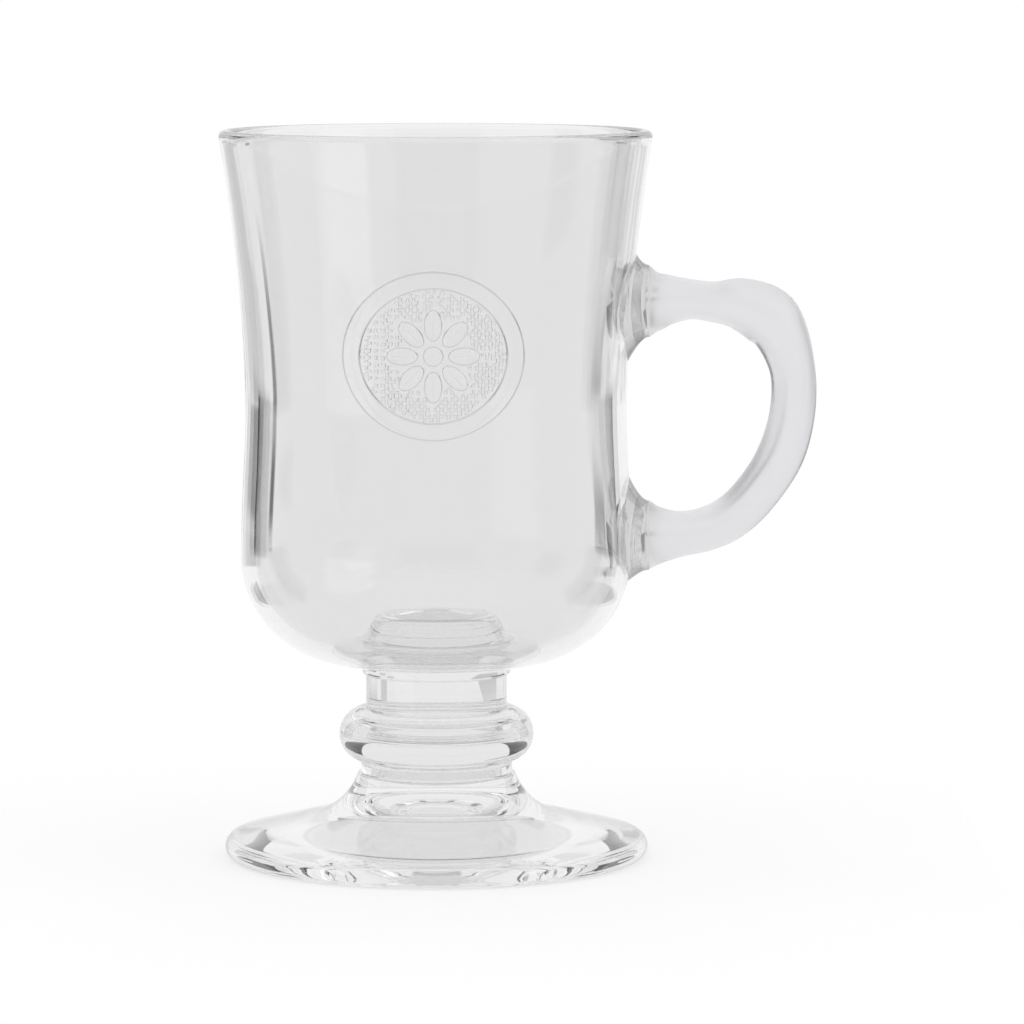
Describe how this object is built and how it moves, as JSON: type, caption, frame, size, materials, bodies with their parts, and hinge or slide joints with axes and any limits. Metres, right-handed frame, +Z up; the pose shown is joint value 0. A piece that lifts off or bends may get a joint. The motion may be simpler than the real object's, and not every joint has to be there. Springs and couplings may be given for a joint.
{
  "type": "irish coffee glass mug",
  "caption": "Footed glass mug with a flared bowl, a knopped stem on a domed foot, a looped side handle on two flared pads, and an oval front medallion.",
  "frame": {"origin": "centre of the foot's flat resting ring, in the plane of the surface that the mug stands on", "axes": "+Z up along the axis of bowl, stem and foot; +X towards the handle; the medallion faces -Y"},
  "size_m": [0.1073, 0.0778, 0.1313],
  "materials": {
    "clear_glass": "clear soda-lime glass, fire-polished and smooth",
    "seal_glass": "clear soda-lime glass, pressed relief with soft edges",
    "handle_glass": "soda-lime glass with a faint satin haze"
  },
  "bodies": {
    "root": {"foot": "clear_glass", "lower_collar": "clear_glass", "knop": "clear_glass", "upper_collar": "clear_glass", "bowl": "clear_glass", "seal": "seal_glass", "upper_handle_pad": "clear_glass", "lower_handle_pad": "clear_glass", "handle": "handle_glass"}
  },
  "joints": []
}
